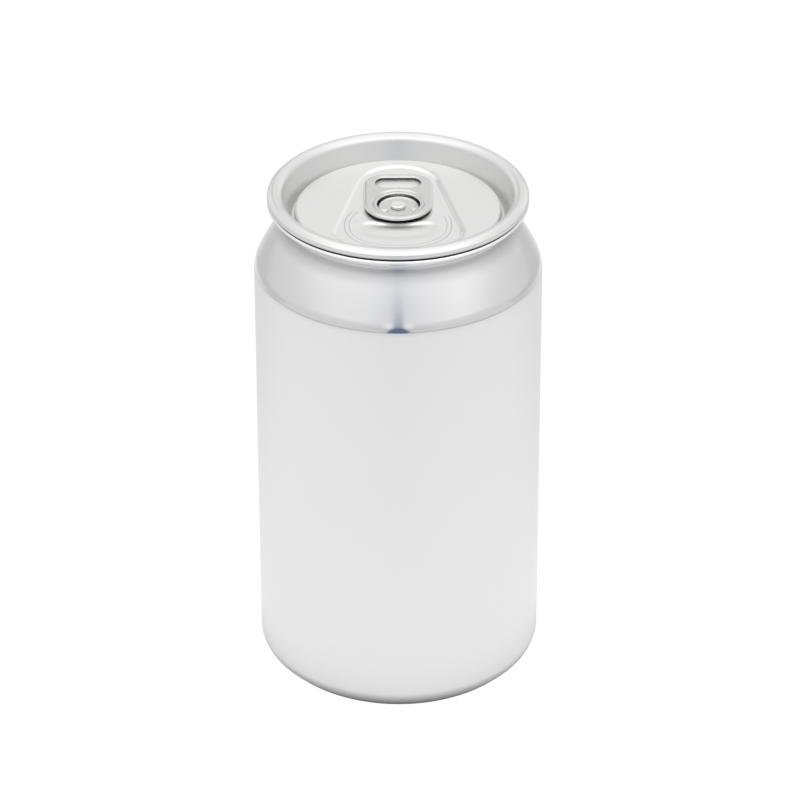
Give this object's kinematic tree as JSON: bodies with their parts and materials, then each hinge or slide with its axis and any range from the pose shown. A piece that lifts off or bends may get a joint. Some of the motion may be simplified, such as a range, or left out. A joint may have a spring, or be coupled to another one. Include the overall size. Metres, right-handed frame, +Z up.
{
  "type": "aluminium beverage can",
  "caption": "Plain drawn aluminium drinks can with a necked shoulder, domed base, and an easy-open end with a riveted pull tab laid on its flange.",
  "frame": {"origin": "centre of the standing ring, at floor level", "axes": "+Z up along the can's axis, -Y towards the tear panel and the nose of the tab, +X to the right when the tear panel faces the viewer"},
  "size_m": [0.0662, 0.0662, 0.1245],
  "materials": {
    "satin_coat": "satin clear coat over drawn and ironed aluminium, glossier on the shoulder and neck",
    "end_metal": "clear-coated rolled aluminium sheet",
    "tab_metal": "bare rolled aluminium strip with bright curled hems"
  },
  "bodies": {
    "root": {"can_body": "satin_coat", "can_end": "end_metal", "pull_tab": "tab_metal"}
  },
  "joints": []
}
